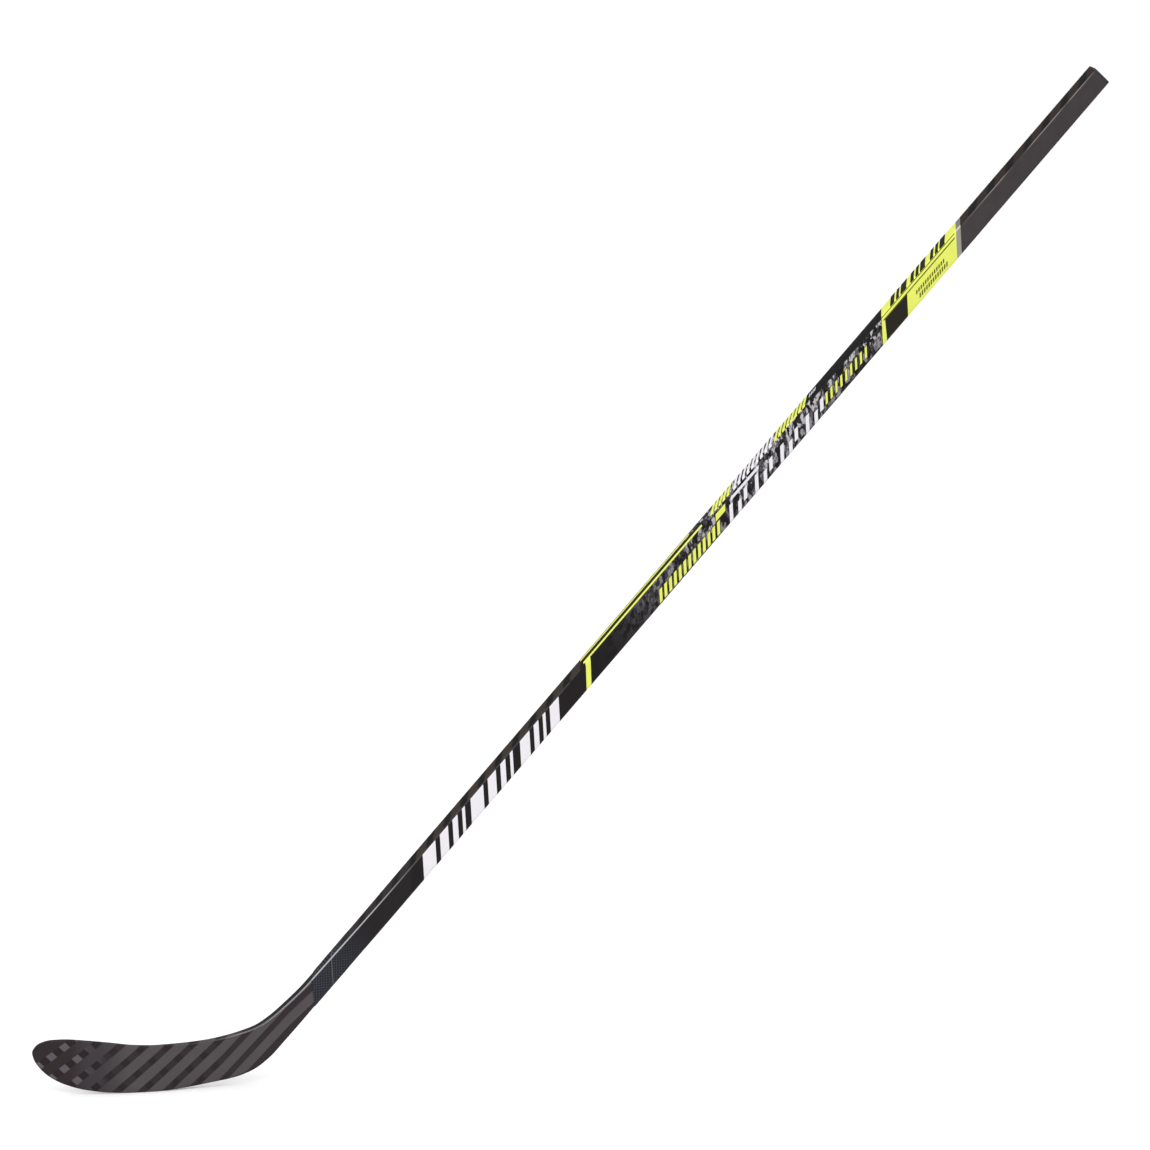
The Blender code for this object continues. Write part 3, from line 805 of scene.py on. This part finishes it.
def middle_marks(white, neon, edges):
    """Slanted marks on the wide faces, the neon ones with a black edge, and rows on the narrow face."""
    marks = [(s, 0.0048, 0.0026, 0.0146) for s in evenly(0.7350, 0.0086, 13)]
    marks += [(s, 0.0036, 0.0070, 0.0172) for s in evenly(1.0370, 0.0088, 9)]
    marks.append((0.8494, 0.0170, 0.0165, 0.0228))
    for s, length, low, high in marks:
        neon.both(s, s + length, at_width(low), at_width(high))
        start, end = s - 1.9 * MARK_EDGE, s + length + 0.4 * MARK_EDGE
        edges.both(start, end, at_width(low - MARK_EDGE), at_width(high + MARK_EDGE))
    heights = ((0.0010, 0.0170), (0.0010, 0.0118), (0.0062, 0.0170)) * 4
    for s, (low, high) in zip(evenly(0.8590, 0.0152, len(heights)), heights):
        white.both(s, s + 0.0060, at_width(low), at_width(high))
    white.both(0.8790, 0.9290, at_width(0.0194), at_width(0.0225))
    narrow_rows = (
        (neon, 0.0048, (-0.0080, 0.0060), evenly(0.8500, 0.0072, 5)),
        (white, 0.0046, (-0.0088, 0.0070), evenly(0.8900, 0.0080, 9)),
        (neon, 0.0048, (-0.0080, 0.0060), evenly(0.9640, 0.0072, 8)),
        (white, 0.0016, (-0.0025, 0.0025), evenly(1.0300, 0.0032, 4)),
    )
    for ink, length, (front, back), starts in narrow_rows:
        for s in starts:
            ink.bar(s, s + length, at_depth(front), at_depth(back))


def upper_marks(black, lines):
    """The black block, marks on the narrow face, lines along the ridge, and two rows of dashes."""
    black.both(1.1403, 1.1779, at_width(0.0), at_width(0.0208), lean=0.865, taper=-0.09)
    narrow_marks = (
        (1.1726, 1.1800), (1.1832, 1.1884), (1.1912, 1.2017), (1.2089, 1.2150), (1.2182, 1.2235),
        (1.2262, 1.2353), (1.2442, 1.2500), (1.2532, 1.2585), (1.2612, 1.2706),
    )
    for start, end in narrow_marks:
        black.bar(start, end, at_depth(-0.0080), at_depth(0.0075), lean=0.7)
    for w, thickness in ((0.0207, 0.0014), (0.0244, 0.0009)):
        lines.both(1.1550, 1.2620 + w, at_width(w), at_width(w + thickness), lean=0.5)
    for low, height in ((0.0110, 0.0036), (0.0049, 0.0042)):
        for s in evenly(1.2035, 0.0040, 13):
            lines.both(s, s + 0.0024, at_width(low), at_width(low + height))


def print_graphics():
    over = PRINT_GAP + PRINT_THICKNESS
    white, neon = Print("white_print", over), Print("neon_marks", over)
    black, edges, lines = Print("black_print"), Print("mark_edges"), Print("ridge_lines")
    lower_marks(white, neon, black)
    middle_marks(white, neon, edges)
    upper_marks(black, lines)
    white.build(flat_print("white_ink", WHITE_INK, 0.03), "white_film")
    neon.build(flat_print("neon_ink", NEON), "neon_film")
    ink = flat_print("black_ink", BLACK_INK, 0.12, 0.4, specular=0.10)
    black.build(ink, "mottled_film")
    edges.build(ink, "mottled_film")
    lines.build(flat_print("olive_ink", OLIVE_INK, 0.08), "neon_film")


def build_shaft_ridges():
    """Glossy strips with a painted highlight on the four ridges, apart from the neon part."""
    ridges = Print("shaft_ridges")
    for side in (BACKHAND, FOREHAND):
        ridges.ridge(RIDGE_STARTS[side][0], RIDGE_BREAK, 0.00060, UPPER, side)
        ridges.ridge(0.1900, RIDGE_BREAK, 0.00035, LOWER, side)
        ridges.ridge(RIDGE_STARTS[side][1], RIDGE_END, 0.00050, UPPER, side)
        ridges.ridge(1.3110, RIDGE_END, 0.00040, LOWER, side)
    ridges.build(ridge_highlight(), "carbon_shaft")


# ---- blade
def smooth_path(points, substeps):
    """Points along a smooth curve through the given ones, with `substeps` stations between two of them."""
    points = np.array(points)
    lengths = np.linalg.norm(np.diff(points, axis=0), axis=1)
    t = np.concatenate([[0.0], np.cumsum(lengths)])
    slopes = np.stack([monotone_slopes(t, points[:, k]) for k in range(2)], axis=1)
    path = []
    for i in range(len(points) - 1):
        span = t[i + 1] - t[i]
        for step in range(substeps):
            path.append(hermite(points[i], points[i + 1], slopes[i], slopes[i + 1], span, step / substeps))
    path.append(points[-1])
    return np.array(path)


def hosel_pair(s):
    """Bottom and top edge of the hosel at distance s, from the heel."""
    width, _, _, drop = section_size(s)
    bottom = ALONG * s - ACROSS * drop
    top = bottom + ACROSS * width
    return (bottom.x, bottom.z), (top.x, top.z)


class Blade:
    """The blade from hosel to toe: its outline, half thickness and inward normals at each station."""

    def __init__(self):
        pairs = [hosel_pair(s) for s in HOSEL_STATIONS] + BLADE_OUTLINE
        outline = [b for b, _ in pairs] + [TOE_TIP] + [t for _, t in reversed(pairs)]
        self.path = smooth_path(outline, BLADE_SUBSTEPS)
        self.count = len(self.path) // 2
        tangent = np.gradient(self.path, axis=0)
        tangent[0], tangent[-1] = (-ALONG.x, -ALONG.z), (ALONG.x, ALONG.z)
        tangent /= np.linalg.norm(tangent, axis=1)[:, None]
        self.inward = np.stack([tangent[:, 1], -tangent[:, 0]], axis=1)
        self.half = [self.half_thickness(i) for i in range(self.count + 1)]

    def half_thickness(self, i):
        hosel_steps = (len(HOSEL_STATIONS) - 1) * BLADE_SUBSTEPS
        if i <= hosel_steps:
            s = np.interp(i / BLADE_SUBSTEPS, range(len(HOSEL_STATIONS)), HOSEL_STATIONS)
            return section_size(s)[1] / 2
        share = (i - hosel_steps) / (self.count - hosel_steps)
        return (HOSEL_THICKNESS + (TOE_THICKNESS - HOSEL_THICKNESS) * share) / 2

    def path_half(self, k):
        return self.half[k if k <= self.count else 2 * self.count - k]

    def inset(self, depth):
        """Bottom and top edge points at each station, moved in from the outline by depth."""
        moved = self.path + self.inward * depth
        return moved[: self.count + 1], moved[self.count:][::-1]


def bend(x, z, y):
    """A point of the flat blade, given from the heel, moved onto the blade's curve."""
    share = max((CURVE_START - x) / (CURVE_START - TOE_X), 0.0)
    return Vector((x + HEEL_X, y + TOE_DEFLECTION * share**2, z))


def build_blade_ridges(blade):
    """Glossy strips with a painted highlight along the top edge, from the middle of the heel to the joint.
    """
    ridges = Print("heel_ridges")
    start = 2 * blade.count - BLADE_SUBSTEPS * RIDGE_SPANS
    low, high = PRINT_GAP, PRINT_GAP + HIGHLIGHT_THICKNESS
    for side in (BACKHAND, FOREHAND):
        lines = [[], [], [], []]
        for rank, k in enumerate(range(start, len(blade.path))):
            half = blade.path_half(k)
            radius = 2 * half * EDGE_ROUNDING
            spread = RIDGE_NARROW + (RIDGE_WIDE - RIDGE_NARROW) * min(rank / RIDGE_GROWS, 1.0)
            for line, turn, lift in zip(lines, (-1, 1, 1, -1), (high, high, low, low)):
                angle = RIDGE_ANGLE[UPPER] + turn * spread / radius
                depth = radius - (radius + lift) * math.sin(angle)
                out = half - radius + (radius + lift) * math.cos(angle)
                line.append(bend(*(blade.path[k] + blade.inward[k] * depth), side * out))
        ridges.strip(lines)
    ridges.build(heel_highlight(), "blade_edge")


def build_blade():
    blade = Blade()
    rings = []
    for k, (point, inward) in enumerate(zip(blade.path, blade.inward)):
        half = blade.path_half(k)
        radius = 2 * half * EDGE_ROUNDING
        profile = [(EDGE_DEPTH, -half)]
        for step in range(CORNER_STEPS):
            angle = RIGHT_ANGLE * step / (CORNER_STEPS - 1)
            profile.append((radius * (1 - math.sin(angle)), -half + radius * (1 - math.cos(angle))))
        profile += [(depth, -y) for depth, y in reversed(profile)]
        rings.append([bend(*(point + inward * depth), y) for depth, y in profile])
    place(solid_between("blade_rim", rings, blade_layup("rim_layup", rim=True)), "blade_edge", "edge_band")

    build_blade_ridges(blade)
    layup = blade_layup("blade_layup")
    bottom, top = blade.inset(EDGE_DEPTH)
    faces = (("backhand_skin", BACKHAND, "backhand_face"), ("forehand_skin", FOREHAND, "forehand_face"))
    for name, side, node in faces:
        rings = []
        for i in range(blade.count):
            line = [bottom[i] + (top[i] - bottom[i]) * c / BLADE_COLUMNS for c in range(BLADE_COLUMNS + 1)]
            half = blade.half[i]
            ring = [bend(x, z, side * half) for x, z in line]
            ring += [bend(x, z, side * (half - FACE_PLY)) for x, z in reversed(line)]
            rings.append(ring)
        place(solid_between(name, rings, layup), "carbon_blade", node)


# ---- what the CAD frame keeps
def dress_frame(frame):
    """Materials for the CAD nodes that stay: the ones inside the blade and the joint."""
    foam = foam_material()
    carbon = flat_print("bare_carbon", BARE_CARBON, 0.2, 0.5, specular=0.3)
    pairs = [(node, foam) for node in ("taper_foam", "upper_core", "lower_core")]
    for node, material in pairs + [("blade_tenon", carbon), ("core_rib", carbon)]:
        slots = frame["nodes"][node].data.materials
        slots.clear()
        slots.append(material)


# ---- studio
TARGET = Vector((0.56, 0.0, 0.58))
TO_CAMERA = Vector((-0.3502, -0.9078, 0.2311))
CAMERA_DISTANCE = 10.0
FOCAL_LENGTH, SENSOR, FAR_CLIP = 269.63, 36.0, 200.0
ROLL = math.radians(1.063)
AIM_RIGHT, AIM_UP = -0.004992, -0.000551  # the view's middle, sideways and up from the target, per metre
BRIGHT_SIDE = Vector((-0.20, -0.45, 0.90)).normalized()
SKY_START, DARK_SKY, BRIGHT_SKY = -0.40, 0.05, 1.43  # the sky's strength rises from here to its bright side
BACKDROP = 0.94  # strength of the sky where the camera sees it directly
FLOOR_MIDDLE, FLOOR_REACH, FLOOR_DROP = (0.5, 10.0), 40.0, 0.0002
TO_LIGHT = Vector((-0.616, -0.413, 0.669))
LIGHT_DISTANCE, LIGHT_LENGTH, LIGHT_WIDTH, LIGHT_POWER = 4.0, 2.6, 0.6, 50.0


def build_camera():
    forward = -TO_CAMERA.normalized()
    right = forward.cross(Vector((0.0, 0.0, 1.0))).normalized()
    up = right.cross(forward)
    rolled_right = right * math.cos(ROLL) + up * math.sin(ROLL)
    rolled_up = up * math.cos(ROLL) - right * math.sin(ROLL)
    aim = (forward + rolled_right * AIM_RIGHT + rolled_up * AIM_UP).normalized()
    side = (rolled_right - aim * rolled_right.dot(aim)).normalized()
    data = bpy.data.cameras.new("camera")
    data.lens = FOCAL_LENGTH
    data.sensor_width = SENSOR
    data.clip_end = FAR_CLIP
    camera = bpy.data.objects.new("camera", data)
    bpy.context.scene.collection.objects.link(camera)
    rotation = Matrix((side, side.cross(aim), -aim)).transposed().to_4x4()
    camera.matrix_world = Matrix.Translation(TARGET + TO_CAMERA.normalized() * CAMERA_DISTANCE) @ rotation
    bpy.context.scene.camera = camera


def build_light():
    """A long softbox that runs parallel to the shaft and brings out its ridges."""
    data = bpy.data.lights.new("ridge_light", "AREA")
    data.shape = "RECTANGLE"
    data.size, data.size_y = LIGHT_LENGTH, LIGHT_WIDTH
    data.energy = LIGHT_POWER
    data.use_shadow = False
    light = bpy.data.objects.new("ridge_light", data)
    bpy.context.scene.collection.objects.link(light)
    away = (TO_LIGHT - ALONG * TO_LIGHT.dot(ALONG)).normalized()
    rotation = Matrix((ALONG, away.cross(ALONG), away)).transposed().to_4x4()
    offset = TO_LIGHT.normalized() * LIGHT_DISTANCE
    light.matrix_world = Matrix.Translation(TARGET + offset) @ rotation


def build_sky():
    """Bright above and towards the camera, dark behind the stick, pale where the camera sees it."""
    world = bpy.data.worlds.new("studio")
    world.use_nodes = True
    nodes, links = world.node_tree.nodes, world.node_tree.links
    towards = nodes.new("ShaderNodeVectorMath")
    towards.operation = "DOT_PRODUCT"
    links.new(nodes.new("ShaderNodeTexCoord").outputs["Generated"], towards.inputs[0])
    towards.inputs[1].default_value = BRIGHT_SIDE
    strength = nodes.new("ShaderNodeMapRange")
    for socket, value in zip(strength.inputs[1:5], (SKY_START, 1.0, DARK_SKY, BRIGHT_SKY)):
        socket.default_value = value
    links.new(towards.outputs["Value"], strength.inputs[0])
    seen = nodes.new("ShaderNodeMix")
    links.new(nodes.new("ShaderNodeLightPath").outputs["Is Camera Ray"], seen.inputs[0])
    links.new(strength.outputs[0], seen.inputs[2])
    seen.inputs[3].default_value = BACKDROP
    nodes["Background"].inputs["Color"].default_value = (1.0, 1.0, 1.0, 1.0)
    links.new(seen.outputs[0], nodes["Background"].inputs["Strength"])
    bpy.context.scene.world = world
    bpy.context.scene.view_settings.view_transform = "Standard"


def build_floor():
    floor = Surface("paper_floor", 0.9, specular=0.0)
    cloud = floor.noise(0.6, 2.0)
    material = floor.finish(floor.mix(cloud, (0.98, 0.98, 0.98, 1.0), (0.995, 0.995, 0.995, 1.0)))
    x, y = FLOOR_MIDDLE
    sides = (-1, -1), (1, -1), (1, 1), (-1, 1)
    corners = [(x + a * FLOOR_REACH, y + b * FLOOR_REACH, -FLOOR_DROP) for a, b in sides]
    add_mesh("floor", corners, [(0, 1, 2, 3)], material)


# ---- the scene
def main():
    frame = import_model()
    dress_frame(frame)
    build_shaft()
    build_plug()
    build_joint_wrap()
    print_graphics()
    build_shaft_ridges()
    build_blade()
    build_camera()
    build_sky()
    build_floor()
    build_light()


main()
